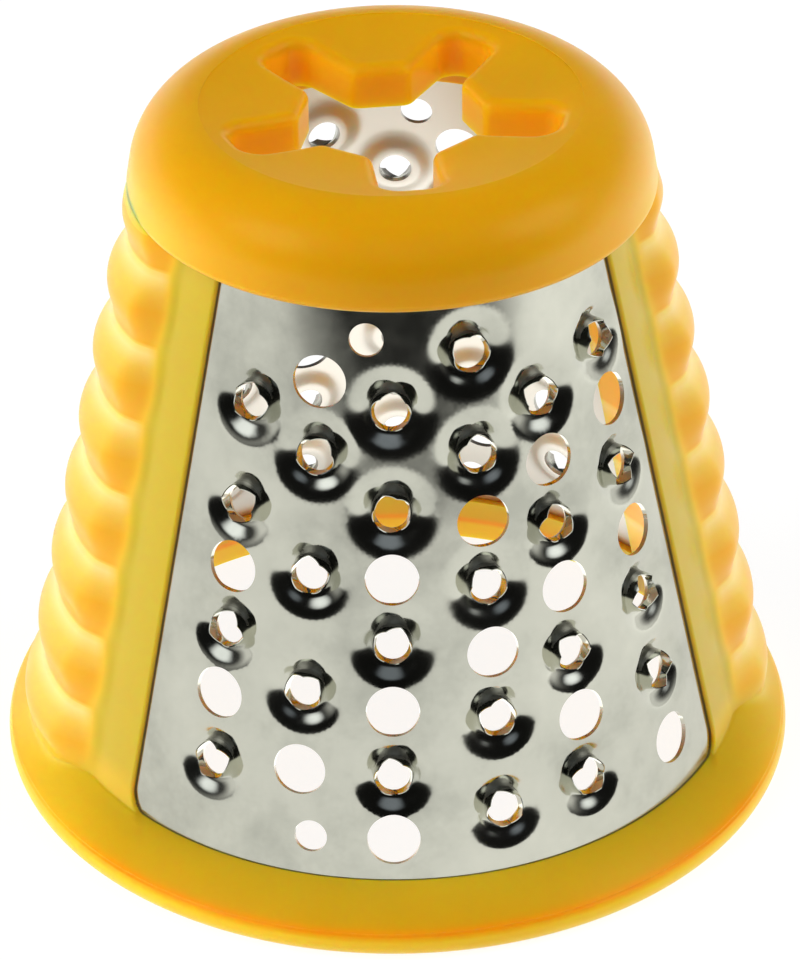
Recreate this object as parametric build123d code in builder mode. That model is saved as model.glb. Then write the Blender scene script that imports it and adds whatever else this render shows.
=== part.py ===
"""Grater cone of a drum shredder: a moulded yellow frame holding two pressed steel panels.

The cone stands on its base ring with the axis on Z. The middle of the front window faces -Y, and the
two grip ribs lie on -X and +X. Sizes are in millimetres and angles in degrees.
"""
import math
import os

from build123d import *

# Overall
FOOT_RADIUS = 44.0       # outer edge of the standing face
HEIGHT = 81.6            # standing plane to the top of the cap's shoulder
TAPER = 0.219            # radius lost by the cone for each millimetre of height

# Base ring
BEAD_OUT = 1.3           # the bead stands this far out of the foot
BEAD_MID = 2.3           # height of its widest line
SHELF_OUT = 0.7          # the sloping shelf begins this far out of the foot
SHELF_HEIGHT = 3.5       # and at this height

# Steel cone
STEEL_INSET = 3.66       # from the foot in to the steel, carried down to the standing plane
SHEET = 0.5              # thickness of the steel
TUCK = 2.0               # the steel runs this far into the plastic all round
LIP = 1.0                # plastic behind the tucked edge

# Windows
SILL = 6.2               # lower edge of a window, at the steel
CAP_HEIGHT = 9.6         # upper edge, below the top of the cap
WINDOW_ANGLE = 63.7      # half the angle between the two sides of a window
WINDOW_APEX = 4.05       # the sides would meet this far in front of the axis

# Ribs
RIB_PROUD = 0.6          # the plain strips of a rib stand this far out of the steel
CREST_PROUD = 4.65       # and the crests of the grip ridges this far
RIDGE_COUNT = 8
RIDGE_START = 4.0        # height of the lowest hollow
RIDGE_OVER = 3.2         # the uppermost ridge runs this far up into the cap
RIDGE_DEPTH = 1.7        # from the crest line to a hollow
GRIP_SPAN = 27.5         # half angle of the ridged part of a rib
GRIP_ROUND = 6.0         # round where the ridges run out
GRIP_OVER = 0.3          # its plan is drawn this far outside the crests

# Cap
CAP_OUT = 4.43           # the rim of the cap stands this far out of the steel
CAP_LEAN = 0.17          # and leans in this far for each millimetre
CAP_EDGE = 0.8           # round of its lower edge
CAP_PLATE = 5.0          # thickness of the top
CAP_RIM = 1.2            # from the rounded end of a star arm out to the shoulder
RECESS = 0.9             # the top lies this far below the shoulder
RECESS_RUN = 0.8         # width of the slope between them

# Star socket
STAR_LAND = 10.6         # from the end of an arm out to the rim of the cap
STAR_ARMS = 5
STAR_WIDTH = 6.4         # width of an arm
STAR_CORE = 0.527        # the flats between the arms, as a part of an arm's reach
STAR_TIP = 2.2           # round at the end of an arm
STAR_CORNER = 1.5        # round where an arm meets a flat
STAR_EDGE = 1.0          # round of the upper edge
STAR_TURN = -2.0         # first arm, from the middle of the front window

# Teeth: a round dish pressed inwards, with a pointed crown punched outwards in its middle
DISH_RADIUS = 4.5
DISH_DEPTH = 1.0
CROWN_RADIUS = 2.25      # outside, at the foot
CROWN_LEAN = 0.3         # the points lean out this far
CROWN_HEIGHT = 0.6       # and stand this far above the sheet
CROWN_NOTCH = 0.5        # the notches end this far below the sheet
CROWN_SINK = 0.1         # the foot goes this far into the dish
CROWN_POINTS = 4
CROWN_TURN = 37.0        # each crown is turned this far from the one before

# Round holes
HOLE_RADIUS = 2.93
PIN_RADIUS = 1.85

# Each column of a panel: its turn from the middle of the window, then its teeth and its holes, given as
# parts of the window's height
COLUMNS = (
    (-42.4, (0.787, 0.611, 0.392, 0.155), (0.502, 0.278)),
    (-25.8, (0.723, 0.520, 0.318), (0.848, 0.182)),
    (-9.4, (0.805, 0.635, 0.410, 0.181), (0.523, 0.296, 0.071)),
    (9.5, (0.891, 0.722, 0.498, 0.267, 0.106), (0.609, 0.383)),
    (25.8, (0.790, 0.570, 0.343, 0.116), (0.681, 0.459, 0.229)),
    (46.0, (0.833, 0.605, 0.371, 0.225), (0.726, 0.488, 0.096)),
)
# The two small holes beside the columns: turn, and part of the height
PINS = ((-15.1, 0.924), (-23.3, 0.067))

# Sizes that follow from those above
STEEL_RADIUS = FOOT_RADIUS - STEEL_INSET
WINDOW_TOP = HEIGHT - CAP_HEIGHT
CAP_RADIUS = STEEL_RADIUS - TAPER * WINDOW_TOP + CAP_OUT
CAP_TOP = HEIGHT - RECESS
CEILING = CAP_TOP - CAP_PLATE
STAR_REACH = CAP_RADIUS - STAR_LAND
RIDGE_PITCH = (WINDOW_TOP + RIDGE_OVER - RIDGE_START) / RIDGE_COUNT
DISH_ROUND = (DISH_RADIUS ** 2 + DISH_DEPTH ** 2) / (2 * DISH_DEPTH)


def steel(z):
    """Outside radius of the steel at a height."""
    return STEEL_RADIUS - TAPER * z


def crest(z):
    """Radius of the line over the grip ridges at a height."""
    return steel(z) + CREST_PROUD


def on_steel(turn, level):
    """Plane lying on the steel and facing outwards, turned from the front, at a part of the window."""
    a = math.radians(turn)
    z = SILL + level * (WINDOW_TOP - SILL)
    lean = math.atan(TAPER)
    out = (math.cos(lean) * math.sin(a), -math.cos(lean) * math.cos(a), math.sin(lean))
    spot = (steel(z) * math.sin(a), -steel(z) * math.cos(a), z)
    return Plane(origin=spot, x_dir=(math.cos(a), math.sin(a), 0), z_dir=out)


def window_plan(side, spread=0.0):
    """Corners of a window seen from above, at the front (-1) or the back (+1), its sides moved out."""
    a = math.radians(WINDOW_ANGLE)
    apex = WINDOW_APEX - spread / math.sin(a)
    reach = 2 * FOOT_RADIUS
    x = reach * math.sin(a)
    y = apex + reach * math.cos(a)
    return [(0, side * apex), (x, side * y), (x, side * 2 * reach), (-x, side * 2 * reach), (-x, side * y)]


def near(shape, r, z):
    """Corner of a turned profile nearest to a radius and height."""
    return shape.vertices().sort_by_distance((r, z, 0))[0]


# Both windows, as the space they take in the steel cone
with BuildPart() as windows:
    with BuildSketch(Plane.XZ):
        Polygon((0, SILL), (steel(SILL), SILL), (steel(WINDOW_TOP), WINDOW_TOP), (0, WINDOW_TOP), align=None)
    revolve(axis=Axis.Z)
    with BuildSketch(Plane.XY):
        Polygon(*window_plan(-1), align=None)
        Polygon(*window_plan(1), align=None)
    extrude(amount=HEIGHT, mode=Mode.INTERSECT)

# A plain steel panel, before it is pressed
with BuildPart() as blank:
    low = SILL - TUCK
    high = WINDOW_TOP + TUCK
    with BuildSketch(Plane.XZ):
        Polygon((steel(low) - SHEET, low), (steel(low), low), (steel(high), high), (steel(high) - SHEET, high),
                align=None)
    revolve(axis=Axis.Z)
    with BuildSketch(Plane.XY):
        Polygon(*window_plan(-1, TUCK), align=None)
    extrude(amount=HEIGHT, mode=Mode.INTERSECT)

# The plain strips of both ribs
with BuildPart() as ribs:
    with BuildSketch(Plane.XZ):
        Polygon((0, BEAD_MID), (steel(BEAD_MID) + RIB_PROUD, BEAD_MID),
                (steel(WINDOW_TOP) + RIB_PROUD, WINDOW_TOP), (0, WINDOW_TOP), align=None)
    revolve(axis=Axis.Z)
    with BuildSketch(Plane.XY):
        Polygon(*window_plan(-1), align=None)
        Polygon(*window_plan(1), align=None)
    extrude(amount=HEIGHT, mode=Mode.SUBTRACT)

# Ridges of the right grip: a stack of cushions, turned round the axis
with BuildPart() as grip:
    a = math.radians(GRIP_SPAN + 2)
    start = Plane(origin=(0, 0, 0), x_dir=(math.cos(a), -math.sin(a), 0), z_dir=(-math.sin(a), -math.cos(a), 0))
    core = steel(HEIGHT) - CREST_PROUD
    top = WINDOW_TOP + RIDGE_OVER
    with BuildSketch(start):
        with BuildLine():
            Line((core, RIDGE_START), (crest(RIDGE_START) - RIDGE_DEPTH, RIDGE_START))
            for i in range(RIDGE_COUNT):
                z = RIDGE_START + i * RIDGE_PITCH
                mid = z + RIDGE_PITCH / 2
                end = z + RIDGE_PITCH
                ThreePointArc((crest(z) - RIDGE_DEPTH, z), (crest(mid), mid), (crest(end) - RIDGE_DEPTH, end))
            Line((crest(top) - RIDGE_DEPTH, top), (core, top))
            Line((core, top), (core, RIDGE_START))
        make_face()
    revolve(axis=Axis.Z, revolution_arc=2 * (GRIP_SPAN + 2))
    # The ends are rounded off in plan, so that the ridges run out into the strips
    for z in (0, HEIGHT):
        with BuildSketch(Plane.XY.offset(z)) as outline:
            r = crest(z) + GRIP_OVER
            scale = r / (crest(0) + GRIP_OVER)
            x = 2 * r * math.cos(math.radians(GRIP_SPAN))
            y = 2 * r * math.sin(math.radians(GRIP_SPAN))
            Circle(r)
            Polygon((0, 0), (x, -y), (x, y), align=None, mode=Mode.INTERSECT)
            fillet(outline.vertices().sort_by(Axis.X)[-2:], GRIP_ROUND * scale)
    loft(ruled=True, mode=Mode.INTERSECT)

# The frame: base ring, ribs and cap in one moulding
with BuildPart() as frame:
    with BuildSketch(Plane.XZ) as turned:
        shelf = FOOT_RADIUS + SHELF_OUT
        shoulder = CAP_RADIUS - CAP_LEAN * CAP_HEIGHT
        foot = STAR_REACH + STAR_EDGE + CAP_RIM - RECESS_RUN
        flat = shoulder - STAR_REACH - STAR_EDGE - CAP_RIM
        with BuildLine():
            Line((0, 0), (FOOT_RADIUS, 0))
            ThreePointArc((FOOT_RADIUS, 0), (FOOT_RADIUS + BEAD_OUT, BEAD_MID), (shelf, SHELF_HEIGHT))
            Polyline((shelf, SHELF_HEIGHT), (steel(SILL), SILL), (steel(WINDOW_TOP), WINDOW_TOP),
                     (CAP_RADIUS, WINDOW_TOP), (shoulder, HEIGHT), (foot + RECESS_RUN, HEIGHT),
                     (foot, CAP_TOP), (0, CAP_TOP), (0, 0))
        make_face()
        # The shoulder is as round as the width left for it allows
        round_off = 0.97 * flat * math.tan((math.pi / 2 + math.atan(CAP_LEAN)) / 2)
        fillet(near(turned, shoulder, HEIGHT), round_off)
        fillet(near(turned, CAP_RADIUS, WINDOW_TOP), CAP_EDGE)
    revolve(axis=Axis.Z)
    add(ribs.part)
    add(grip.part)
    add(grip.part.rotate(Axis.Z, 180))
    # Hollow inside, open below
    inner = SHEET + LIP
    with BuildSketch(Plane.XZ):
        Polygon((0, -SILL), (steel(-SILL) - inner, -SILL), (steel(CEILING) - inner, CEILING), (0, CEILING),
                align=None)
    revolve(axis=Axis.Z, mode=Mode.SUBTRACT)
    # The windows, and the slots that hold the edges of the panels
    add(windows.part, mode=Mode.SUBTRACT)
    add(blank.part, mode=Mode.SUBTRACT)
    add(blank.part.rotate(Axis.Z, 180), mode=Mode.SUBTRACT)
    # The star socket: arms round a flat-sided middle, with a soft edge on top
    arms = [STAR_TURN - 90 + i * 360 / STAR_ARMS for i in range(STAR_ARMS)]
    middle = STAR_CORE * STAR_REACH / math.cos(math.pi / STAR_ARMS)
    with BuildSketch(Plane.XY.offset(CAP_TOP)) as star:
        Polygon(*[(middle * math.cos(math.radians(a)), middle * math.sin(math.radians(a))) for a in arms],
                align=None)
        with PolarLocations(0, STAR_ARMS, start_angle=arms[0]):
            Rectangle(STAR_REACH, STAR_WIDTH, align=(Align.MIN, Align.CENTER))
        fillet(star.vertices().sort_by_distance((0, 0, 0))[:2 * STAR_ARMS], STAR_CORNER)
        fillet(star.vertices().sort_by_distance((0, 0, 0))[-2 * STAR_ARMS:], STAR_TIP)
    extrude(amount=-2 * CAP_PLATE, mode=Mode.SUBTRACT)
    level = frame.edges().filter_by_position(Axis.Z, CAP_TOP - 0.01, CAP_TOP + 0.01)
    fillet(level.filter_by(lambda edge: edge.bounding_box().size.X < STAR_REACH), STAR_EDGE)
frame.part.label = "frame"

# The bowl behind one dish, made lying on XY; its flat side stays within the sheet
with BuildPart() as bowl:
    with Locations((0, 0, DISH_ROUND - DISH_DEPTH)):
        Sphere(DISH_ROUND + SHEET)
    split(bisect_by=Plane.XY.offset(-0.9 * SHEET), keep=Keep.BOTTOM)

# One crown, made lying on XY: a flared ring cut by notches into sharp points
with BuildPart() as crown:
    sunk = -DISH_DEPTH - CROWN_SINK
    lip = CROWN_RADIUS + CROWN_LEAN
    with BuildSketch(Plane.XZ):
        Polygon((CROWN_RADIUS - SHEET, sunk), (CROWN_RADIUS, sunk), (lip, CROWN_HEIGHT),
                (lip - SHEET / 2, CROWN_HEIGHT), align=None)
    revolve(axis=Axis.Z)
    turns = [2 * math.pi * i / CROWN_POINTS for i in range(CROWN_POINTS)]
    with BuildSketch(*[Plane(origin=(0, 0, 0), x_dir=(-math.sin(t), math.cos(t), 0),
                             z_dir=(math.cos(t), math.sin(t), 0)) for t in turns]):
        half = 1.03 * lip * math.sin(math.pi / CROWN_POINTS)
        Polygon((0, -CROWN_NOTCH), (half, CROWN_HEIGHT), (half, 2 * CROWN_HEIGHT), (-half, 2 * CROWN_HEIGHT),
                (-half, CROWN_HEIGHT), align=None)
    extrude(amount=2 * lip, mode=Mode.SUBTRACT)

# The front panel: the blank with its dishes, holes and crowns
with BuildPart() as grater_panel_front:
    seats = [on_steel(turn, level) for turn, teeth, holes in COLUMNS for level in teeth]
    rounds = [on_steel(turn, level) for turn, teeth, holes in COLUMNS for level in holes]
    pins = [on_steel(turn, level) for turn, level in PINS]
    through = 4 * (DISH_DEPTH + SHEET)
    add(blank.part)
    with Locations(*seats):
        add(bowl.part)
    with Locations(*[seat.offset(DISH_ROUND - DISH_DEPTH) for seat in seats]):
        Sphere(DISH_ROUND, mode=Mode.SUBTRACT)
    for spots, radius in ((seats, CROWN_RADIUS - SHEET / 2), (rounds, HOLE_RADIUS), (pins, PIN_RADIUS)):
        with Locations(*spots):
            Cylinder(radius, through, mode=Mode.SUBTRACT)
    with Locations(*[seat.rotated((0, 0, CROWN_TURN * i)) for i, seat in enumerate(seats)]):
        add(crown.part)
grater_panel_front.part.label = "grater_panel_front"

# The back panel is the same piece, turned half way round
with BuildPart() as grater_panel_back:
    add(grater_panel_front.part.rotate(Axis.Z, 180))
grater_panel_back.part.label = "grater_panel_back"

os.makedirs("parts", exist_ok=True)
export_step(frame.part, "parts/frame.step")
export_step(grater_panel_front.part, "parts/grater_panel_front.step")
export_step(grater_panel_back.part, "parts/grater_panel_back.step")
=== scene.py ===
"""Looks of the grater cone: an amber moulding with ridged grips, and two bright pressed steel panels.

Shapes are worked out in millimetres and turned into metres when a mesh is made. The cone stands on the
floor with its axis on Z, the middle of the front window faces -Y and the grip ribs lie on -X and +X.
"""
import math

import bpy
import numpy as np
from mathutils import Matrix, Vector
from mathutils.geometry import delaunay_2d_cdt


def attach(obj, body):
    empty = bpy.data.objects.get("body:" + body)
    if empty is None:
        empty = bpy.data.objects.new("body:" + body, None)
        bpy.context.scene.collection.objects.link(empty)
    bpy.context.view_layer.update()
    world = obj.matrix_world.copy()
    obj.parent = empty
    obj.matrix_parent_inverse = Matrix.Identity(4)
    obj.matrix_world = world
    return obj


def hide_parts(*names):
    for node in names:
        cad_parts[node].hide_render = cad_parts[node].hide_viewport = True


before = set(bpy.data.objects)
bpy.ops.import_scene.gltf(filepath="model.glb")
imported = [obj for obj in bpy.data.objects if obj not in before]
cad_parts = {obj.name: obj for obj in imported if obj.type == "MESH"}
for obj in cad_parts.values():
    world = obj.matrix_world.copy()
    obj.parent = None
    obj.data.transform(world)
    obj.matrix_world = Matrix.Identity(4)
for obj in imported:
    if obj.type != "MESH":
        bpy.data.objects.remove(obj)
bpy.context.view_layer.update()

MM = 0.001

# Base ring: a lip at the foot, a groove over it and a rounded shelf up to the steel
FOOT_RADIUS = 44.0
FOOT_FLAT = 41.5         # a radius on the flat of the foot
LIP_RADIUS = 45.3
LIP_MID = 1.7
LIP_TOP = 2.7
LIP_FALL = 0.25          # how far the lip has drawn in at its top
GROOVE_RADIUS = 44.75
GROOVE_HEIGHT = 3.1

# Steel cone and windows
STEEL_RADIUS = 40.34
TAPER = 0.219
SHEET = 0.5
SILL = 6.2
WINDOW_TOP = 72.0
WINDOW_ANGLE = 63.7
WINDOW_APEX = 4.05
WINDOW_CORNER = 3.0
TUCK = 2.0               # how far the sheet's edges run into the plastic
BACKING = 1.0            # plastic behind the sheet
HIDDEN = 0.3             # how far edges of the plastic run in behind the face of the steel

# Ribs
RIB_PROUD = 0.55
RIB_EDGE = 0.45
CREST_PROUD = 4.8
RIDGE_PITCH = 8.9
RIDGE_START = 3.65       # on the right rib
RIDGE_LEFT = 1.25        # the left one's ridges stand this much higher
RIDGE_DEPTH = 1.4
GRIP_FALL = 0.55         # part of their height that the ridges lose towards their ends
GRIP_FULL = 12.5         # turn from the middle of a rib where their blunt ends begin
GRIP_END = 22.5          # and where they have run out

# Cap and star socket
HEIGHT = 81.6
CAP_RADIUS = 29.0
CAP_LEAN = 0.17
CAP_SHOULDER = 7.78
CAP_EDGE = 0.8
CAP_PLATE = 5.0
CAP_TOP = 80.7           # the top at the star; it falls to this from the shoulder
CAP_CREASE = 20.8        # radius of the faint line where the fall begins
CAP_FALL = 11.0          # and where it ends
STAR_ARMS = 5
STAR_REACH = 18.4
STAR_WIDTH = 6.4
STAR_CORE = 9.7          # from the axis to the flats between the arms
STAR_TIP = 2.2
STAR_CORNER = 1.5
STAR_EDGE = 1.35
STAR_TURN = -2.0

# Teeth: dishes pressed inwards, each with a pointed crown punched outwards
DISH_RADIUS = 5.4
DISH_DEPTH = 0.95
CROWN_RADIUS = 2.3
CROWN_LEAN = -0.3
CROWN_HEIGHT = 0.5
CROWN_VALLEY = -0.35
CROWN_POINTS = 4
CROWN_SPIN = 0.65        # turn from one crown to the next, in radians
CROWN_ROWS = 11          # rows of points up a crown
CROWN_EDGE = 0.2         # part of the sheet's thickness left at a crown's torn edge
HOLE_RADIUS = 2.93
PIN_RADIUS = 1.85
# Each column: its turn from the middle of the window, then its teeth and its holes, both as parts of
# the window's height
COLUMNS = (
    (-42.4, (0.787, 0.611, 0.392, 0.155), (0.502, 0.278)),
    (-25.8, (0.723, 0.520, 0.318), (0.848, 0.182)),
    (-9.4, (0.805, 0.635, 0.410, 0.181), (0.523, 0.296, 0.071)),
    (9.5, (0.891, 0.722, 0.498, 0.267, 0.106), (0.609, 0.383)),
    (25.8, (0.790, 0.570, 0.343, 0.116), (0.681, 0.459, 0.229)),
    (46.0, (0.833, 0.605, 0.371, 0.225), (0.726, 0.488, 0.096)),
)
PINS = ((-15.1, 0.924), (-23.3, 0.067))

# Camera, set from the photograph
VIEW_TURN = -8.6         # round the axis from the middle of the window
VIEW_RISE = 32.92
VIEW_DISTANCE = 520.0
VIEW_HEIGHT = 33.02      # point of the axis that the camera faces
VIEW_ROLL = -0.577
LENS = 172.0
VIEW_SHIFT = 0.00503


def steel(z):
    """Outside radius of the steel at a height."""
    return STEEL_RADIUS - TAPER * z


def smooth_max(a, b, k):
    """Larger of two surfaces, with the crease between them rounded."""
    h = np.clip(0.5 + 0.5 * (a - b) / k, 0, 1)
    return b + (a - b) * h + k * h * (1 - h)


def smooth_min(a, b, k):
    """Smaller of two surfaces, with the crease between them rounded."""
    return -smooth_max(-a, -b, k)


class Shell:
    """Collects patches of quads and triangles into one mesh."""

    def __init__(self):
        self.points = []
        self.faces = []
        self.count = 0

    def grid(self, pts, keep=None, closed=False, flip=False):
        """Rows by columns of points; keep marks the cells there are, closed joins the ends of rows."""
        rows, cols = pts.shape[:2]
        index = self.count + np.arange(rows * cols).reshape(rows, cols)
        right = np.roll(index, -1, axis=1) if closed else index[:, 1:]
        left = index if closed else index[:, :-1]
        quads = np.stack([left[:-1], right[:-1], right[1:], left[1:]], -1)
        if keep is not None:
            quads = quads[keep]
        quads = quads.reshape(-1, 4)
        if flip:
            quads = quads[:, ::-1]
        self.points.append(pts.reshape(-1, 3))
        self.faces += quads.tolist()
        self.count += rows * cols

    def soup(self, pts, faces):
        """Loose points and faces."""
        self.points.append(np.asarray(pts))
        self.faces += [[self.count + i for i in face] for face in faces]
        self.count += len(pts)

    def lathe(self, profile, columns=288, flip=False):
        """A profile of radius and height turned right round the axis."""
        a = np.linspace(0, 2 * math.pi, columns, endpoint=False)
        r = np.array([p[0] for p in profile])[:, None]
        z = np.array([p[1] for p in profile])[:, None]
        self.grid(np.stack([r * np.cos(a), r * np.sin(a), z + 0 * a], -1), closed=True, flip=flip)

    def make(self, name, crease=40):
        """The mesh as an object, smooth except over sharp edges."""
        pts = np.concatenate(self.points) * MM
        mesh = bpy.data.meshes.new(name)
        mesh.from_pydata(pts.tolist(), [], self.faces)
        mesh.validate()
        obj = bpy.data.objects.new(name, mesh)
        bpy.context.collection.objects.link(obj)
        mesh.polygons.foreach_set("use_smooth", [True] * len(mesh.polygons))
        mesh.set_sharp_from_angle(angle=math.radians(crease))
        return obj


def arc(centre, radius, start, end, steps):
    """Points of radius and height along an arc; angles in degrees from the outward direction."""
    angles = np.radians(np.linspace(start, end, steps))
    return [(centre[0] + radius * math.cos(a), centre[1] + radius * math.sin(a)) for a in angles]


def three_point(p, q, s, steps):
    """Points along the arc through three points of a profile."""
    (ax, ay), (bx, by), (cx, cy) = p, q, s
    d = 2 * (ax * (by - cy) + bx * (cy - ay) + cx * (ay - by))
    ux = ((ax**2 + ay**2) * (by - cy) + (bx**2 + by**2) * (cy - ay) + (cx**2 + cy**2) * (ay - by)) / d
    uy = ((ax**2 + ay**2) * (cx - bx) + (bx**2 + by**2) * (ax - cx) + (cx**2 + cy**2) * (bx - ax)) / d
    a0 = math.degrees(math.atan2(ay - uy, ax - ux))
    a1 = math.degrees(math.atan2(cy - uy, cx - ux))
    return arc((ux, uy), math.hypot(ax - ux, ay - uy), a0, a1, steps)


# Outer surface between bead and cap, as a radius over turn and height

def rib_edge(r):
    """Angle from the middle of a rib to its edge at a window, in radians."""
    offset = WINDOW_APEX * math.sin(math.radians(WINDOW_ANGLE))
    return math.radians(90 - WINDOW_ANGLE) + np.arcsin(offset / r)


def hollow(z, start):
    """How deep the space between two ridges is at a height: 0 on a crest and 1 at the bottom."""
    t = (z - start) / RIDGE_PITCH
    u = np.abs(2 * (t - np.floor(t)) - 1)
    return np.sin(math.pi / 2 * u)**2 * (0.55 + 0.45 * u)


def shelf(z):
    """Radius of the rounded shelf of the base ring."""
    part = np.clip((SILL - z) / (SILL - GROOVE_HEIGHT), 0, 1)
    return steel(SILL) + (GROOVE_RADIUS - steel(SILL)) * part**0.7


def outside(turn, z, start=RIDGE_START):
    """Radius of the moulding at a turn from the middle of the nearer rib."""
    strip = steel(z) + RIB_PROUD
    away = np.degrees(np.abs(turn))
    end = np.clip((GRIP_END - away) / (GRIP_END - GRIP_FULL), 0, 1)
    end = end * end * (3 - 2 * end)
    crown = (CREST_PROUD - RIB_PROUD) * (1 - GRIP_FALL * (away / GRIP_END)**2)
    top = strip + (crown - RIDGE_DEPTH * hollow(z, start)) * end
    rim = np.where(z < WINDOW_TOP, 0.35, CAP_LEAN + 0.06) * (WINDOW_TOP - z) + CAP_RADIUS
    top = smooth_min(top, rim, 0.3)
    flare = np.clip(WINDOW_CORNER - (z - SILL + 0.3), 0, WINDOW_CORNER)
    flare = WINDOW_CORNER - np.sqrt(WINDOW_CORNER**2 - flare**2)
    inside = (rib_edge(steel(z)) - np.abs(turn)) * steel(z) + flare
    into_edge = np.clip(RIB_EDGE - inside, 0, RIB_EDGE)
    round_part = RIB_EDGE - np.sqrt(np.clip(RIB_EDGE**2 - into_edge**2, 0, None))
    rib = top - round_part - 10 * np.clip(-inside, 0, None)
    ring = shelf(z) - 10 * np.clip(z - SILL, 0, None)
    return smooth_max(rib, ring, 1.8 * np.clip((SILL + 6 - z) / 6, 0.02, 1))


def rib_columns():
    """Turns from the middle of a rib, as parts of the rib's width and millimetres beyond it."""
    near_edge = (3, 2.4, 1.9, 1.5, 1.2, 1.0, 0.85, 0.7, 0.58, 0.47, 0.37, 0.28, 0.2, 0.13, 0.07, 0.02,
                 -0.02, -0.06, -0.1, -0.15, -0.2, -0.26, -0.35, -0.5, -0.75, -1.0, -1.3, -1.6, -1.9, -2.2,
                 -2.6, -3.0, -3.4)
    flat = [(part, -3.0) for part in np.linspace(0, 1, 34)]
    return flat + [(1.0, -d) for d in near_edge[1:]]


def make_wall(shell):
    """Ribs and sloping shelf, right round."""
    near_sill = SILL - np.array([0.07, 0.04, 0.02, 0.007, 0.0, -0.03])
    z = [np.arange(GROOVE_HEIGHT, SILL - 0.08, 0.11), near_sill, np.arange(SILL + 0.1, 10, 0.13),
         np.arange(10, WINDOW_TOP - 1.1, 0.4), np.arange(WINDOW_TOP - 1, WINDOW_TOP + 1.01, 0.1)]
    z = np.concatenate(z)[:, None]
    edge = rib_edge(steel(z))
    right = [np.clip(edge + beyond / steel(z), 0, None) * part for part, beyond in rib_columns()]
    right = np.concatenate(right, axis=1)
    half = np.concatenate([-right[:, :0:-1], right], axis=1)
    last = half[:, -1:]
    span = math.pi - 2 * last
    gap = np.concatenate([last + span * part for part in np.linspace(0, 1, 50)[1:-1]], axis=1)
    turns = np.concatenate([half, gap, half + math.pi, gap + math.pi], axis=1)
    local = (turns + math.pi / 2) % math.pi - math.pi / 2
    start = RIDGE_START + RIDGE_LEFT * (np.cos(turns) < 0)
    r = outside(local, z + 0 * local, start)
    floor = steel(z) - HIDDEN
    hidden = (r < floor) | ((z > WINDOW_TOP + 0.15) & (r < CAP_RADIUS - 1.0))
    r = np.maximum(r, floor)
    pts = np.stack([r * np.cos(turns), r * np.sin(turns), z + 0 * turns], -1)
    shown = ~hidden
    beside = np.roll(shown, -1, axis=1)
    keep = shown[:-1] | shown[1:] | beside[:-1] | beside[1:]
    shell.grid(pts, keep=keep, closed=True)


def star_outline(grow=0.0):
    """Points round the star socket, in plan, widened by an amount."""
    w = STAR_WIDTH / 2 + grow
    far = STAR_REACH + grow
    tip = STAR_TIP + grow
    core = STAR_CORE + grow
    corner = STAR_CORNER - grow
    half_gap = math.pi / STAR_ARMS
    flat = np.array([math.sin(half_gap), math.cos(half_gap)])
    centre = np.array([w + corner, (core + corner - (w + corner) * flat[0]) / flat[1]])
    side = [(w - tip + tip * math.cos(a), far - tip + tip * math.sin(a))
            for a in np.linspace(math.pi / 2, 0, 16)]
    side += [(w, y) for y in np.linspace(far - tip, centre[1], 8)[1:-1]]
    side += [tuple(centre + corner * np.array([math.cos(a), math.sin(a)]))
             for a in np.linspace(math.pi, 1.5 * math.pi - half_gap, 9)]
    last = np.array(side[-1])
    side += [tuple(last + (core * flat - last) * t) for t in (0.33, 0.67, 1.0)]
    side = np.array(side)
    arm = np.concatenate([side[::-1] * [-1, 1], side])
    rounds = []
    for i in range(STAR_ARMS):
        a = math.radians(STAR_TURN) + i * 2 * math.pi / STAR_ARMS
        x = arm[:-1, 0] * math.cos(a) + arm[:-1, 1] * math.sin(a)
        y = arm[:-1, 0] * math.sin(a) - arm[:-1, 1] * math.cos(a)
        rounds.append(np.stack([x, y], -1))
    return np.concatenate(rounds)


def cap_height(r):
    """Height of the cap's top at a radius."""
    t = np.clip((np.asarray(r) - CAP_FALL) / (CAP_CREASE - CAP_FALL), 0, 1)
    return CAP_TOP + (HEIGHT - 0.06 - CAP_TOP) * t**1.5


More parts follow.
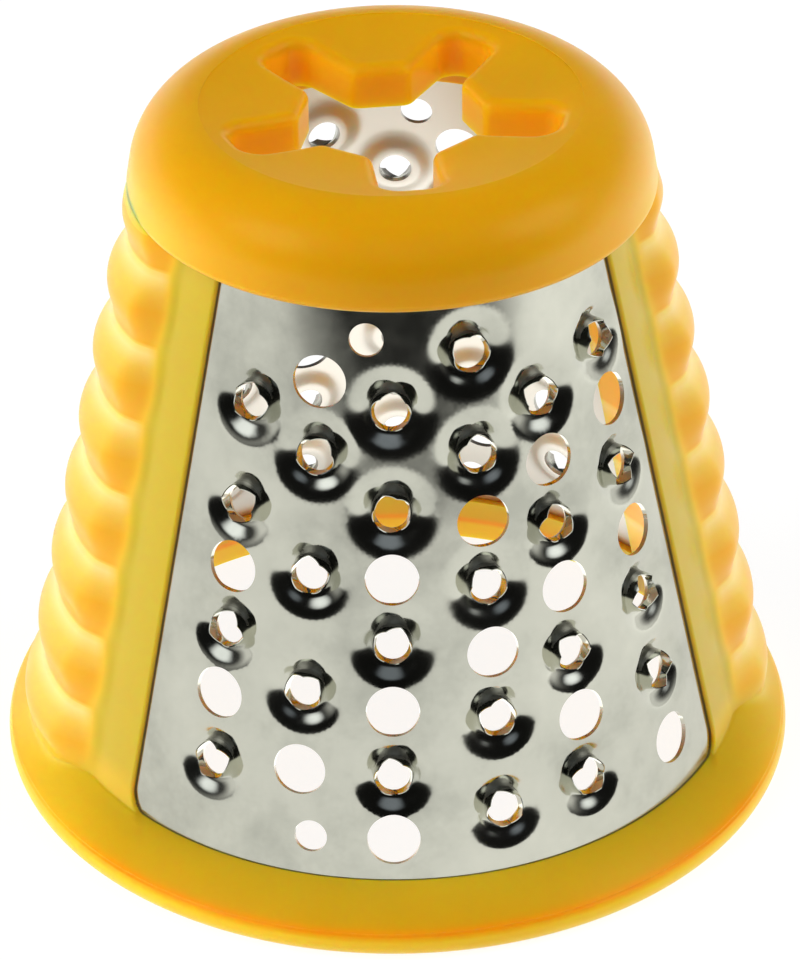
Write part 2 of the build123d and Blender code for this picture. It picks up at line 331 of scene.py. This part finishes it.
def make_cap(shell):
    """Rim, shoulder and sunk flat top with the star socket."""
    lean = math.degrees(math.atan(CAP_LEAN))
    corner = CAP_RADIUS - CAP_LEAN * (HEIGHT - WINDOW_TOP)
    flat = corner - CAP_SHOULDER * math.tan(math.radians(90 - lean) / 2)
    edge = CAP_EDGE * math.tan(math.radians(90 + lean) / 2)
    # The rim is open below where the ribs run into it
    a = np.linspace(0, 2 * math.pi, 288, endpoint=False)
    r = np.linspace(steel(WINDOW_TOP) - 0.4, CAP_RADIUS - edge, 24)[:, None]
    local = (a + math.pi / 2) % math.pi - math.pi / 2
    open_part = r + 0 * a < outside(local, WINDOW_TOP + 0 * local)
    beside = np.roll(open_part, -1, axis=1)
    keep = ~(open_part[:-1] & open_part[1:] & beside[:-1] & beside[1:])
    rim_pts = np.stack([r * np.cos(a), r * np.sin(a), WINDOW_TOP + 0 * r * a], -1)
    shell.grid(rim_pts, keep=keep, closed=True)
    profile = arc((CAP_RADIUS - edge, WINDOW_TOP + CAP_EDGE), CAP_EDGE, -90, lean, 12)
    shoulder = arc((flat, HEIGHT - CAP_SHOULDER), CAP_SHOULDER, lean, 90, 28)
    low = np.array(profile[-1])
    profile += [tuple(low + (np.array(shoulder[0]) - low) * t) for t in (0.25, 0.5, 0.75)]
    profile += shoulder
    profile.append((CAP_CREASE, cap_height(CAP_CREASE)))
    shell.lathe(profile)
    rows = []
    ceiling = CAP_TOP - CAP_PLATE
    outer = star_outline(STAR_EDGE)
    rim = cap_height(np.linalg.norm(outer, axis=1))
    for part in np.linspace(0, 1, 6):
        rows.append(np.column_stack([star_outline(), ceiling + (rim - STAR_EDGE - ceiling) * part]))
    for a in np.linspace(0, math.pi / 2, 12)[1:]:
        widened = star_outline(STAR_EDGE * (1 - math.cos(a)))
        rows.append(np.column_stack([widened, rim - STAR_EDGE * (1 - math.sin(a))]))
    ring = outer / np.linalg.norm(outer, axis=1)[:, None] * CAP_CREASE
    for t in (0.04, 0.12, 0.25, 0.4, 0.55, 0.7, 0.85, 1.0):
        flat = outer + (ring - outer) * t
        rows.append(np.column_stack([flat, cap_height(np.linalg.norm(flat, axis=1))]))
    shell.grid(np.stack(rows), closed=True)
    # Underside of the top, and the inside of the rim
    back = SHEET + BACKING
    inner = star_outline()
    edge_ring = inner / np.linalg.norm(inner, axis=1)[:, None] * (steel(ceiling) - back)
    level = np.full(len(inner), ceiling)
    under = [np.column_stack([inner + (edge_ring - inner) * t, level]) for t in (0, 0.5, 1)]
    shell.grid(np.stack(under), closed=True, flip=True)
    shell.lathe([(steel(WINDOW_TOP) - HIDDEN, WINDOW_TOP), (steel(WINDOW_TOP) - back, WINDOW_TOP),
                 (steel(ceiling) - back, ceiling)], flip=True)


def make_ring(shell):
    """Bead and foot, and the inside of the ring and ribs."""
    lip_top = LIP_RADIUS - LIP_FALL
    bead = three_point((FOOT_RADIUS, 0), (LIP_RADIUS, LIP_MID), (lip_top, LIP_TOP), 20)
    for t in np.linspace(0, 1, 8)[1:]:
        sink = 0.5 - 0.5 * math.cos(math.pi * t)
        bead.append((lip_top + (GROOVE_RADIUS - lip_top) * sink, LIP_TOP + (GROOVE_HEIGHT - LIP_TOP) * t))
    back = SHEET + BACKING
    ceiling = CAP_TOP - CAP_PLATE
    shell.lathe([(steel(0) - back, 0), (FOOT_FLAT, 0)] + bead)
    shell.lathe([(steel(SILL) - HIDDEN, SILL), (steel(SILL) - back, SILL), (steel(3) - back, 3),
                 (steel(0) - back, 0)])
    z = np.linspace(0.5, ceiling, 60)[:, None]
    part = np.linspace(-1, 1, 40)[None, :]
    for turn in (0, math.pi):
        a = turn + part * rib_edge(steel(z))
        r = np.repeat(steel(z) - back, part.shape[1], axis=1)
        r[:, 0] = r[:, -1] = steel(z)[:, 0] - HIDDEN
        a[:, 1] = a[:, 0]
        a[:, -2] = a[:, -1]
        shell.grid(np.stack([r * np.cos(a), r * np.sin(a), z + 0 * a], -1), flip=True)


def make_frame():
    """The yellow moulding."""
    shell = Shell()
    make_wall(shell)
    make_cap(shell)
    make_ring(shell)
    return shell.make("frame_moulding", crease=50)


# Steel panels

def to_cone(x, z, lift):
    """Points from across and up a panel to the cone, lifted along its normal; x is in radians."""
    lean = math.atan(TAPER)
    r = steel(z) + lift * math.cos(lean)
    return np.stack([r * np.sin(x), -r * np.cos(x), z + lift * math.sin(lean)], -1)


def up_panel(level):
    """Height of a part of the window."""
    return SILL + level * (WINDOW_TOP - SILL)


def make_panel(name, side):
    """One pressed panel; side 0 is the front and 1 the back."""
    per_turn = 64
    ring = np.linspace(0, 2 * math.pi, per_turn, endpoint=False)
    teeth = [(math.radians(turn), up_panel(level)) for turn, points, holes in COLUMNS for level in points]
    rounds = [(math.radians(turn), up_panel(level), HOLE_RADIUS)
              for turn, points, holes in COLUMNS for level in holes]
    rounds += [(math.radians(turn), up_panel(level), PIN_RADIUS) for turn, level in PINS]
    lean = math.atan(TAPER)

    def place(spot, rho, phi):
        """Turn and height of a point at a distance and direction from a spot of the sheet."""
        x = spot[0] + rho * np.cos(phi) / steel(spot[1])
        return x, spot[1] + rho * np.sin(phi) * math.cos(lean)

    def apart(spot, x, z):
        """Distance over the sheet from a spot."""
        return np.hypot((x - spot[0]) * steel(spot[1]), (z - spot[1]) / math.cos(lean))

    # The sheet is triangulated lying flat, in angle times mean radius against height
    mean = steel(40)
    low, high = SILL - TUCK, WINDOW_TOP + TUCK
    levels = np.linspace(low, high, 44)
    limit = math.pi / 2 - rib_edge(steel(levels)) + TUCK / steel(levels)
    outline = [(a * mean, z) for a, z in zip(limit, levels)]
    outline += [(a * mean, high) for a in np.linspace(limit[-1], -limit[-1], 40)[1:-1]]
    outline += [(-a * mean, z) for a, z in zip(limit[::-1], levels[::-1])]
    outline += [(a * mean, low) for a in np.linspace(-limit[0], limit[0], 56)[1:-1]]
    loops = [outline]
    spins = [CROWN_SPIN * n for n in range(len(teeth))]
    for spot, spin in zip(teeth, spins):
        x, z = place(spot, CROWN_RADIUS, ring + spin)
        loops.append(list(zip(x * mean, z)))
    for a, z0, radius in rounds:
        x, z = place((a, z0), radius, ring)
        loops.append(list(zip(x * mean, z)))
    pts, edges = [], []
    for loop in loops:
        first = len(pts)
        pts += loop
        edges += [(first + i, first + (i + 1) % len(loop)) for i in range(len(loop))]
    # Loose points: fine rings over the dishes, and a coarser net between
    loose = []
    for spot in teeth:
        for n, rho in enumerate(np.arange(CROWN_RADIUS + 0.3, DISH_RADIUS + 0.5, 0.32)):
            x, z = place(spot, rho, np.linspace(0, 2 * math.pi, 44, endpoint=False) + 0.07 * n)
            loose.append(np.stack([x, z], -1))
    for z in np.arange(low + 1.3, high - 0.5, 1.4):
        wide = float(np.interp(z, levels, limit))
        net = np.stack([np.linspace(-wide, wide, 64)[1:-1], np.full(62, z)], -1)
        nearest = np.min([apart(spot, net[:, 0], net[:, 1]) for spot in teeth], axis=0)
        loose.append(net[nearest > DISH_RADIUS + 0.7])
    loose = np.concatenate(loose)
    ok = np.abs(loose[:, 0]) < np.interp(loose[:, 1], levels, limit) - 0.012
    ok &= (loose[:, 1] > low + 0.4) & (loose[:, 1] < high - 0.4)
    for spot in teeth:
        ok &= apart(spot, loose[:, 0], loose[:, 1]) > CROWN_RADIUS + 0.2
    for a, z0, radius in rounds:
        ok &= apart((a, z0), loose[:, 0], loose[:, 1]) > radius + 0.2
    pts += [(x * mean, z) for x, z in loose[ok]]
    flat, _, tris, _, _, _ = delaunay_2d_cdt([Vector(p) for p in pts], edges, [], 1, 1e-5)
    flat = np.array([tuple(p) for p in flat])
    tris = np.array(tris)
    middle = flat[tris].mean(axis=1)
    keep = np.ones(len(tris), bool)
    for (a, z0), radius in [(s, CROWN_RADIUS) for s in teeth] + [((a, z), q) for a, z, q in rounds]:
        keep &= apart((a, z0), middle[:, 0] / mean, middle[:, 1]) > radius
    keep &= np.abs(middle[:, 0]) < np.interp(middle[:, 1], levels, limit) * mean + 0.01
    # The dishes are pressed into it
    x, z = flat[:, 0] / mean, flat[:, 1]
    sunk = np.zeros(len(flat))
    for spot in teeth:
        t = np.clip((DISH_RADIUS - apart(spot, x, z)) / (DISH_RADIUS - CROWN_RADIUS), 0, 1)
        sunk += DISH_DEPTH * t**3 * (4 - 3 * t)
    shell = Shell()
    shell.soup(to_cone(x, z, -sunk), tris[keep].tolist())
    # Crowns: from the mouth of each dish up to four points
    wave = (ring * CROWN_POINTS / (2 * math.pi)) % 1
    wave = 1 - np.abs(2 * wave - 1)
    summit = CROWN_VALLEY + (CROWN_HEIGHT - CROWN_VALLEY) * wave
    for spot, spin in zip(teeth, spins):
        rows = []
        for t in np.linspace(0, 1, CROWN_ROWS):
            up = -DISH_DEPTH + (summit + DISH_DEPTH) * t
            climb = (up + DISH_DEPTH) / (CROWN_HEIGHT + DISH_DEPTH)
            across, height = place(spot, CROWN_RADIUS + CROWN_LEAN * climb**1.4, ring + spin)
            rows.append(to_cone(across, height, up))
        shell.grid(np.stack(rows), closed=True)
    obj = shell.make(name)
    # The metal thins out towards the torn edges of the crowns
    body = obj.vertex_groups.new(name="thickness")
    body.add(list(range(len(flat))), 1.0, "REPLACE")
    for n in range(len(teeth)):
        for row in range(CROWN_ROWS):
            first = len(flat) + (n * CROWN_ROWS + row) * per_turn
            body.add(list(range(first, first + per_turn)), 1 - row / (CROWN_ROWS - 1), "REPLACE")
    weld = obj.modifiers.new("weld", "WELD")
    weld.merge_threshold = 0.00002
    thick = obj.modifiers.new("sheet", "SOLIDIFY")
    thick.thickness = SHEET * MM
    thick.offset = -1.0
    thick.use_rim = True
    thick.vertex_group = body.name
    thick.thickness_vertex_group = CROWN_EDGE
    bpy.context.view_layer.update()
    plain = obj.data
    obj.data = bpy.data.meshes.new_from_object(obj.evaluated_get(bpy.context.evaluated_depsgraph_get()))
    obj.modifiers.clear()
    bpy.data.meshes.remove(plain)
    obj.data.polygons.foreach_set("use_smooth", [True] * len(obj.data.polygons))
    obj.data.set_sharp_from_angle(angle=math.radians(38))
    obj.data.transform(Matrix.Rotation(math.pi * side, 4, "Z"))
    return obj


# Materials

# Tones of the plastic: by height in millimetres, by place in a ridge from foot to top, and by part. Some
# of them are painted light and shade: the pale lip, the line over it, the faces of the ridges, the shade
# under the rim, the pale rim over the ribs and the glow of the star's walls
RIB_TONE = (0.86, 0.575, 0.032, 1)
FOOT_TONE = (0.84, 0.57, 0.025, 1)
STRIP_TONE = (0.57, 0.42, 0.015, 1)
STAR_PAINTED_GLOW = (1.0, 0.47, 0.008, 1)
RIM_SHADE = (0.90, 0.47, 0.012, 1)
EDGE_LINE_TONE = (0.07, 0.06, 0.03, 1)
# Bands by height: the pale lip is painted light from below, and the deep orange line at 2.8 to 3.1 mm is
# painted shade in the groove over it
BANDS = (
    (0.0, (0.97, 0.63, 0.022, 1)), (2.4, (0.96, 0.60, 0.016, 1)),
    (2.8, (0.94, 0.37, 0.004, 1)), (3.1, (0.92, 0.36, 0.004, 1)),
    (3.6, (0.76, 0.44, 0.010, 1)), (6.0, (0.68, 0.45, 0.016, 1)),
    (10.0, RIB_TONE), (71.7, RIB_TONE), (72.1, (0.82, 0.42, 0.004, 1)),
)
# Painted light and shade on the ridges, from one hollow to the next: deep on the lower faces, pale on the
# upper ones
RIDGE_PAINTED_LIGHT_AND_SHADE = (
    (0.0, (0.90, 0.62, 0.09, 1)), (0.05, (0.84, 0.43, 0.012, 1)), (0.52, (0.85, 0.46, 0.016, 1)),
    (0.76, (0.88, 0.60, 0.09, 1)), (0.92, (0.92, 0.72, 0.25, 1)), (1.0, (0.90, 0.66, 0.15, 1)),
)
STEEL_TONES = (
    (0.34, (0.45, 0.455, 0.385, 1)), (0.52, (0.57, 0.572, 0.485, 1)), (0.70, (0.63, 0.63, 0.535, 1)),
)
STEEL_INSIDE = (0.60, 0.58, 0.52, 1)
# Where tones of the plastic fade in, from and to: in millimetres of height
CAP_FADE = (WINDOW_TOP + 8, WINDOW_TOP - 0.2)
RING_FADE = (11, 7)
RIDGE_FADE = (5.5, 10)
STRIP_FADE = (5.5, 11)
RIM_FADE = (67, 71.5)
STAR_FADE = (CAP_TOP - 0.1, CAP_TOP - 1.2)
# and in millimetres from the steel cone
RIDGE_OUT = (0.8, 1.8)
STRIP_OUT = (RIB_PROUD + 0.7, RIB_PROUD + 0.05)
EDGE_LINE_OUT = (0.24, 0.08)


def nodes_of(name):
    """A new material with its node tree and shader."""
    mat = bpy.data.materials.new(name)
    mat.use_nodes = True
    tree = mat.node_tree
    return mat, tree, tree.nodes["Principled BSDF"]


def noise(tree, scale, detail=3.0, rough=0.5):
    """Noise fixed to the object."""
    coords = tree.nodes.new("ShaderNodeTexCoord")
    tex = tree.nodes.new("ShaderNodeTexNoise")
    tex.inputs["Scale"].default_value = scale
    tex.inputs["Detail"].default_value = detail
    tex.inputs["Roughness"].default_value = rough
    tree.links.new(coords.outputs["Object"], tex.inputs["Vector"])
    return tex


def ramp(tree, source, stops):
    """Colour ramp from (position, colour) stops."""
    node = tree.nodes.new("ShaderNodeValToRGB")
    node.color_ramp.elements[0].position, node.color_ramp.elements[0].color = stops[0]
    node.color_ramp.elements[1].position, node.color_ramp.elements[1].color = stops[-1]
    for position, colour in stops[1:-1]:
        node.color_ramp.elements.new(position).color = colour
    tree.links.new(source, node.inputs["Fac"])
    return node


def grey(v):
    """A grey as a colour."""
    return (v, v, v, 1)


def math_node(tree, kind, a, b):
    """Arithmetic on sockets or numbers."""
    node = tree.nodes.new("ShaderNodeMath")
    node.operation = kind
    for slot, value in zip(node.inputs, (a, b)):
        if isinstance(value, (int, float)):
            slot.default_value = value
        else:
            tree.links.new(value, slot)
    return node.outputs[0]


def blend(tree, factor, a, b):
    """Mix of two colours; each is a socket or a colour."""
    node = tree.nodes.new("ShaderNodeMix")
    node.data_type = "RGBA"
    for slot, value in (("Factor", factor), ("A", a), ("B", b)):
        if isinstance(value, (tuple, float)):
            node.inputs[slot].default_value = value
        else:
            tree.links.new(value, node.inputs[slot])
    return node.outputs["Result"]


def reach(tree, source, start, end, top):
    """A soft step from 0 at one value to a top at another."""
    node = tree.nodes.new("ShaderNodeMapRange")
    node.interpolation_type = "SMOOTHSTEP"
    node.inputs["From Min"].default_value = start
    node.inputs["From Max"].default_value = end
    node.inputs["To Max"].default_value = top
    tree.links.new(source, node.inputs["Value"])
    return node.outputs["Result"]


def fade(tree, source, span, top=1.0):
    """A soft step over a span given in millimetres."""
    return reach(tree, source, span[0] * MM, span[1] * MM, top)


def turned(tree, x, radius):
    """How far round a point lies on a radius: 0 at the middle of a window and 1 at the middle of a rib."""
    return math_node(tree, "ABSOLUTE", math_node(tree, "DIVIDE", x, radius * MM), 0)


def product(tree, *factors):
    """Product of sockets."""
    result = factors[0]
    for factor in factors[1:]:
        result = math_node(tree, "MULTIPLY", result, factor)
    return result


def make_plastic():
    """Amber plastic that lets some light through; its tone changes from part to part of the moulding, with
    painted light and shade at the lip, on the ridges, at the rim and on the star's walls.
    """
    mat, tree, shader = nodes_of("amber_plastic")
    coords = tree.nodes.new("ShaderNodeTexCoord")
    split = tree.nodes.new("ShaderNodeSeparateXYZ")
    tree.links.new(coords.outputs["Object"], split.inputs[0])
    x, z = split.outputs["X"], split.outputs["Z"]
    across = tree.nodes.new("ShaderNodeCombineXYZ")
    tree.links.new(x, across.inputs["X"])
    tree.links.new(split.outputs["Y"], across.inputs["Y"])
    length = tree.nodes.new("ShaderNodeVectorMath")
    length.operation = "LENGTH"
    tree.links.new(across.outputs[0], length.inputs[0])
    radius = length.outputs["Value"]
    # How far a point stands out from the steel cone, or in from it
    proud = math_node(tree, "ADD", radius, math_node(tree, "MULTIPLY", z, TAPER))
    proud = math_node(tree, "ABSOLUTE", math_node(tree, "SUBTRACT", proud, STEEL_RADIUS * MM), 0)
    below = math_node(tree, "LESS_THAN", z, (WINDOW_TOP - 0.5) * MM)
    # Tones by height: lip, line over it, shelf, ribs and cap. The lip is painted pale as painted light
    # from below, and the deep orange line over it is painted shade in the groove
    height = math_node(tree, "DIVIDE", z, HEIGHT * MM)
    base = ramp(tree, height, [(up / HEIGHT, tone) for up, tone in BANDS])
    mottle = noise(tree, 60, 3)
    shade = ramp(tree, mottle.outputs["Fac"], [(0.3, grey(0.97)), (0.7, grey(1.03))])
    tint = tree.nodes.new("ShaderNodeMix")
    tint.data_type = "RGBA"
    tint.blend_type = "MULTIPLY"
    tint.inputs["Factor"].default_value = 1.0
    tree.links.new(base.outputs["Color"], tint.inputs["A"])
    tree.links.new(shade.outputs["Color"], tint.inputs["B"])
    # Painted light: the rim of the cap is painted paler over the ribs
    above = math_node(tree, "GREATER_THAN", z, (WINDOW_TOP - 0.2) * MM)
    rim_painted_light = reach(tree, turned(tree, x, CAP_RADIUS), 0.72, 1.0, 1.0)
    rim_painted_light = product(tree, rim_painted_light, fade(tree, z, CAP_FADE), above)
    toned = blend(tree, rim_painted_light, tint.outputs["Result"], RIB_TONE)
    # The ring pales where it runs under the ribs
    foot = reach(tree, turned(tree, x, FOOT_RADIUS), 0.78, 0.97, 0.8)
    foot = product(tree, foot, fade(tree, z, RING_FADE))
    toned = blend(tree, foot, toned, FOOT_TONE)
    # Painted light and shade: the upper faces of the ridges are painted pale, as if lit from above, and
    # the lower ones deep, as if in shade
    left = math_node(tree, "LESS_THAN", x, 0.0)
    start = math_node(tree, "ADD", math_node(tree, "MULTIPLY", left, RIDGE_LEFT * MM), RIDGE_START * MM)
    phase = math_node(tree, "DIVIDE", math_node(tree, "SUBTRACT", z, start), RIDGE_PITCH * MM)
    faces = ramp(tree, math_node(tree, "FRACT", phase, 0), RIDGE_PAINTED_LIGHT_AND_SHADE)
    ridged = product(tree, fade(tree, proud, RIDGE_OUT), below, fade(tree, z, RIDGE_FADE))
    toned = blend(tree, ridged, toned, faces.outputs["Color"])
    # Painted shade: a warmer tone on the ridges just under the rim of the cap
    painted_rim_shade = product(tree, fade(tree, z, RIM_FADE, 0.8), ridged)
    toned = blend(tree, painted_rim_shade, toned, RIM_SHADE)
    # Painted glow: the walls of the star are painted a bright orange, standing in for light that comes
    # through the plastic
    wall = product(tree, math_node(tree, "LESS_THAN", radius, (STAR_REACH + 1) * MM),
                   math_node(tree, "GREATER_THAN", z, (WINDOW_TOP + 2) * MM),
                   fade(tree, z, STAR_FADE))
    toned = blend(tree, wall, toned, STAR_PAINTED_GLOW)
    # The flush strips are duller, and a dark line is drawn where the plastic meets the steel
    flush = product(tree, fade(tree, proud, STRIP_OUT), fade(tree, z, STRIP_FADE), below)
    toned = blend(tree, flush, toned, STRIP_TONE)
    edge_line = product(tree, fade(tree, proud, EDGE_LINE_OUT, 0.8), below)
    tree.links.new(blend(tree, edge_line, toned, EDGE_LINE_TONE), shader.inputs["Base Color"])
    scuff = noise(tree, 260, 3, 0.5)
    rough = ramp(tree, scuff.outputs["Fac"], [(0.3, grey(0.29)), (0.75, grey(0.35))])
    tree.links.new(rough.outputs["Color"], shader.inputs["Roughness"])
    shader.inputs["IOR"].default_value = 1.45
    shader.inputs["Specular IOR Level"].default_value = 0.65
    shader.inputs["Specular Tint"].default_value = (1.0, 0.82, 0.40, 1)
    shader.inputs["Subsurface Weight"].default_value = 1.0
    shader.inputs["Subsurface Radius"].default_value = (1.0, 0.4, 0.03)
    # Light goes deeper into the walls of the star
    deep = math_node(tree, "ADD", math_node(tree, "MULTIPLY", wall, 0.006), 0.003)
    tree.links.new(deep, shader.inputs["Subsurface Scale"])
    return mat


def make_steel():
    """Bright stainless steel with smudges; the inner face, never polished, is dull and warm."""
    mat, tree, shader = nodes_of("stainless_steel")
    shader.inputs["Metallic"].default_value = 1.0
    geometry = tree.nodes.new("ShaderNodeNewGeometry")
    flat = tree.nodes.new("ShaderNodeVectorMath")
    flat.operation = "MULTIPLY"
    flat.inputs[1].default_value = (1, 1, 0)
    tree.links.new(geometry.outputs["Position"], flat.inputs[0])
    facing = tree.nodes.new("ShaderNodeVectorMath")
    facing.operation = "DOT_PRODUCT"
    tree.links.new(geometry.outputs["True Normal"], facing.inputs[0])
    tree.links.new(flat.outputs[0], facing.inputs[1])
    inside = math_node(tree, "LESS_THAN", facing.outputs["Value"], 0.0)
    stain = noise(tree, 75, 5, 0.6)
    colour = ramp(tree, stain.outputs["Fac"], STEEL_TONES)
    shown = blend(tree, inside, colour.outputs["Color"], STEEL_INSIDE)
    tree.links.new(shown, shader.inputs["Base Color"])
    wipe = noise(tree, 160, 4, 0.6)
    rough = ramp(tree, wipe.outputs["Fac"], [(0.3, grey(0.09)), (0.75, grey(0.17))])
    tree.links.new(blend(tree, inside, rough.outputs["Color"], grey(0.42)), shader.inputs["Roughness"])
    wave = noise(tree, 70, 2)
    bump = tree.nodes.new("ShaderNodeBump")
    bump.inputs["Strength"].default_value = 0.10
    bump.inputs["Distance"].default_value = 0.0006
    tree.links.new(wave.outputs["Fac"], bump.inputs["Height"])
    tree.links.new(bump.outputs["Normal"], shader.inputs["Normal"])
    return mat


def make_floor():
    """White table that shines, as a light table does; what mirrors it finds it dim further in front."""
    mat, tree, shader = nodes_of("white_table")
    tone = noise(tree, 6, 2)
    colour = ramp(tree, tone.outputs["Fac"], [(0.3, grey(0.19)), (0.7, grey(0.21))])
    shader.inputs["Roughness"].default_value = 0.7
    shader.inputs["Specular IOR Level"].default_value = 0.0
    shader.inputs["Emission Color"].default_value = grey(1.0)
    coords = tree.nodes.new("ShaderNodeTexCoord")
    split = tree.nodes.new("ShaderNodeSeparateXYZ")
    tree.links.new(coords.outputs["Object"], split.inputs[0])
    shine = 0.87
    near = reach(tree, split.outputs["Y"], -0.47, -0.25, shine)
    # The camera sees it white all over; only what mirrors it finds the dim part
    seen = tree.nodes.new("ShaderNodeLightPath").outputs["Is Camera Ray"]
    shown = blend(tree, near, grey(0.01), colour.outputs["Color"])
    tree.links.new(blend(tree, seen, shown, colour.outputs["Color"]), shader.inputs["Base Color"])
    # What mirrors it or is lit by it finds it brighter towards the right
    side = tree.nodes.new("ShaderNodeMapRange")
    side.inputs["From Min"].default_value = -0.6
    side.inputs["From Max"].default_value = 0.5
    side.inputs["To Min"].default_value = 0.75
    side.inputs["To Max"].default_value = 1.2
    tree.links.new(split.outputs["X"], side.inputs["Value"])
    strength = math_node(tree, "MULTIPLY", near, side.outputs["Result"])
    strength = blend(tree, seen, strength, grey(shine))
    tree.links.new(strength, shader.inputs["Emission Strength"])
    bpy.ops.mesh.primitive_plane_add(size=2, location=(0, 0, 0))
    floor = bpy.context.object
    floor.name = "table"
    floor.data.transform(Matrix.Translation((0, 0.6, 0)))
    floor.data.transform(Matrix.Diagonal((2.0, 1.5, 1, 1)))
    floor.data.materials.append(mat)


def light(name, place, size, power):
    """A soft lamp that faces the cone, kept out of mirror reflections."""
    data = bpy.data.lights.new(name, "AREA")
    data.shape = "RECTANGLE"
    data.size, data.size_y = size
    data.energy = power
    lamp = bpy.data.objects.new(name, data)
    lamp.location = place
    lamp.rotation_euler = (Vector((0, 0, 0.04)) - Vector(place)).to_track_quat("-Z", "Y").to_euler()
    lamp.visible_glossy = False
    bpy.context.collection.objects.link(lamp)
    return lamp


def make_light():
    """Dim room with a low white screen behind the cone, dark in front, and soft lamps at both sides."""
    world = bpy.data.worlds.new("room")
    bpy.context.scene.world = world
    world.use_nodes = True
    tree = world.node_tree
    back = tree.nodes["Background"]
    coords = tree.nodes.new("ShaderNodeTexCoord")
    split = tree.nodes.new("ShaderNodeSeparateXYZ")
    tree.links.new(coords.outputs["Generated"], split.inputs[0])
    screen = ramp(tree, split.outputs["Z"], [(0.0, grey(0.9)), (0.12, grey(0.9)),
                                             (0.32, grey(0.05)), (1.0, grey(0.05))])
    front = reach(tree, split.outputs["Y"], 0.15, -0.55, 1.0)
    colour = blend(tree, front, screen.outputs["Color"], grey(0.008))
    # What the dishes mirror: a far window in front and paler walls at the sides
    bright = (1.4, 1.45, 1.55, 1)
    for way, tint in (((-0.05, -0.68, 0.73), (0.26, 0.29, 0.35, 1)),
                      ((-0.74, -0.25, 0.62), bright), ((0.74, -0.25, 0.62), bright)):
        patch = tree.nodes.new("ShaderNodeVectorMath")
        patch.operation = "DOT_PRODUCT"
        patch.inputs[1].default_value = way
        tree.links.new(coords.outputs["Generated"], patch.inputs[0])
        colour = blend(tree, reach(tree, patch.outputs["Value"], 0.93, 0.99, 1.0), colour, tint)
    seen = tree.nodes.new("ShaderNodeLightPath").outputs["Is Camera Ray"]
    tree.links.new(blend(tree, seen, colour, grey(1.0)), back.inputs["Color"])
    back.inputs["Strength"].default_value = 1.0
    light("left", (-0.66, -0.10, 0.58), (0.7, 0.7), 5.0)
    light("right", (0.62, -0.12, 0.60), (0.7, 0.7), 3.9)
    light("left card", (-0.55, 0.05, 0.07), (0.5, 0.16), 1.3)
    light("right card", (0.55, 0.05, 0.07), (0.5, 0.16), 0.5)
    # A weak lamp inside the cone lights its inner faces; this one is mirrored
    glow = light("glow", (0.0, 0.0, 0.002), (0.05, 0.05), 0.009)
    glow.rotation_euler = (math.pi, 0, 0)
    glow.visible_camera = False
    glow.visible_glossy = True


def make_camera():
    """Where the photograph was taken from."""
    turn, rise = math.radians(VIEW_TURN), math.radians(VIEW_RISE)
    back = Vector((math.sin(turn) * math.cos(rise), -math.cos(turn) * math.cos(rise), math.sin(rise)))
    data = bpy.data.cameras.new("camera")
    data.sensor_width = 36
    data.lens = LENS
    data.shift_x = VIEW_SHIFT
    data.clip_start, data.clip_end = 0.01, 20
    camera = bpy.data.objects.new("camera", data)
    look = (-back).to_track_quat("-Z", "Y").to_matrix().to_4x4()
    place = Vector((0, 0, VIEW_HEIGHT * MM)) + back * VIEW_DISTANCE * MM
    roll = Matrix.Rotation(math.radians(VIEW_ROLL), 4, "Z")
    camera.matrix_world = Matrix.Translation(place) @ look @ roll
    bpy.context.collection.objects.link(camera)
    bpy.context.scene.camera = camera


plastic = make_plastic()
bright_steel = make_steel()

moulding = make_frame()
moulding.data.materials.append(plastic)
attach(moulding, "root")
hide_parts("frame")

for node, side in (("grater_panel_front", 0), ("grater_panel_back", 1)):
    panel = make_panel(node + "_steel", side)
    panel.data.materials.append(bright_steel)
    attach(panel, "root")
    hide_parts(node)

make_floor()
make_light()
make_camera()
bpy.context.scene.view_settings.view_transform = "Standard"
